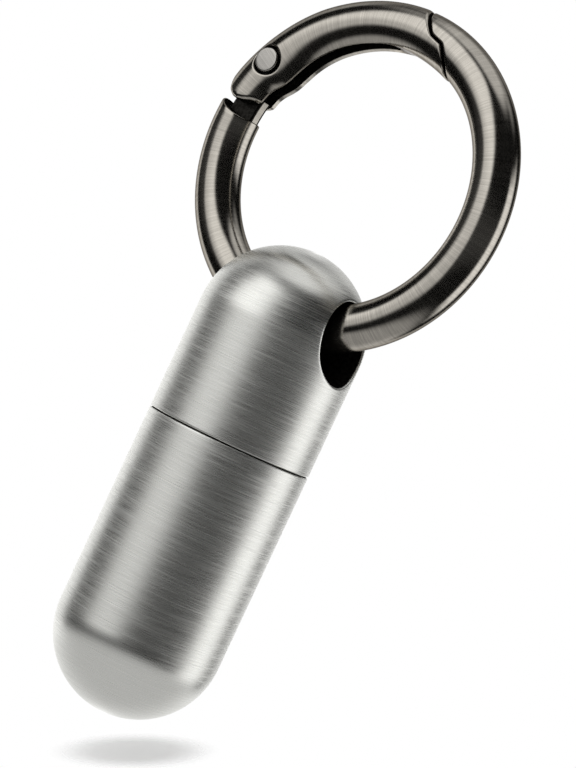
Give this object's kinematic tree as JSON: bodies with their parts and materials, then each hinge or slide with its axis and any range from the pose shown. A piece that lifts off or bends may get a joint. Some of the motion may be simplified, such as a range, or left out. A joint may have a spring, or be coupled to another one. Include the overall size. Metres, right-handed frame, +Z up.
{
  "type": "pill fob keychain",
  "caption": "Round-ended steel capsule that pulls apart to hold tablets, hung through a cross bore on a spring-gate ring.",
  "frame": {"origin": "centre of the ring's opening, where a strap or hook holds the object", "axes": "+Z up along the hanging capsule's axis, ring in the XZ plane, rivet head and gate seen from -Y with the hinge at the upper left"},
  "size_m": [0.0338, 0.0162, 0.0721],
  "materials": {
    "ring_steel": "brushed gunmetal",
    "rivet_steel": "satin",
    "spring_steel": "tempered strip",
    "capsule_steel": "turned and brushed round",
    "seal_rubber": "smooth rubber"
  },
  "bodies": {
    "ring": {"ring_frame": "ring_steel", "gate_spring": "spring_steel"},
    "gate": {"gate": "ring_steel", "gate_rivet": "rivet_steel"},
    "cap": {"fob_cap": "capsule_steel"},
    "body": {"fob_body": "capsule_steel", "neck_seal": "seal_rubber"}
  },
  "joints": [
    {"name": "gate_hinge", "type": "hinge", "parent": "ring", "child": "gate", "pos_m": [-0.01304, 0, 0.00679], "axis": [0, 1, 0], "range_deg": [0, 32], "stiffness_Nm_per_rad": 0.06, "springref_deg": -20.05, "deforming": ["gate_spring"]},
    {"name": "fob_swing", "type": "hinge", "parent": "ring", "child": "cap", "pos_m": [0, 0, -0.0139], "axis": [1, 0, 0], "range_deg": [-145, 145]},
    {"name": "body_pull", "type": "slide", "parent": "cap", "child": "body", "axis": [0, 0, -1], "range_m": [0, 0.018]}
  ]
}
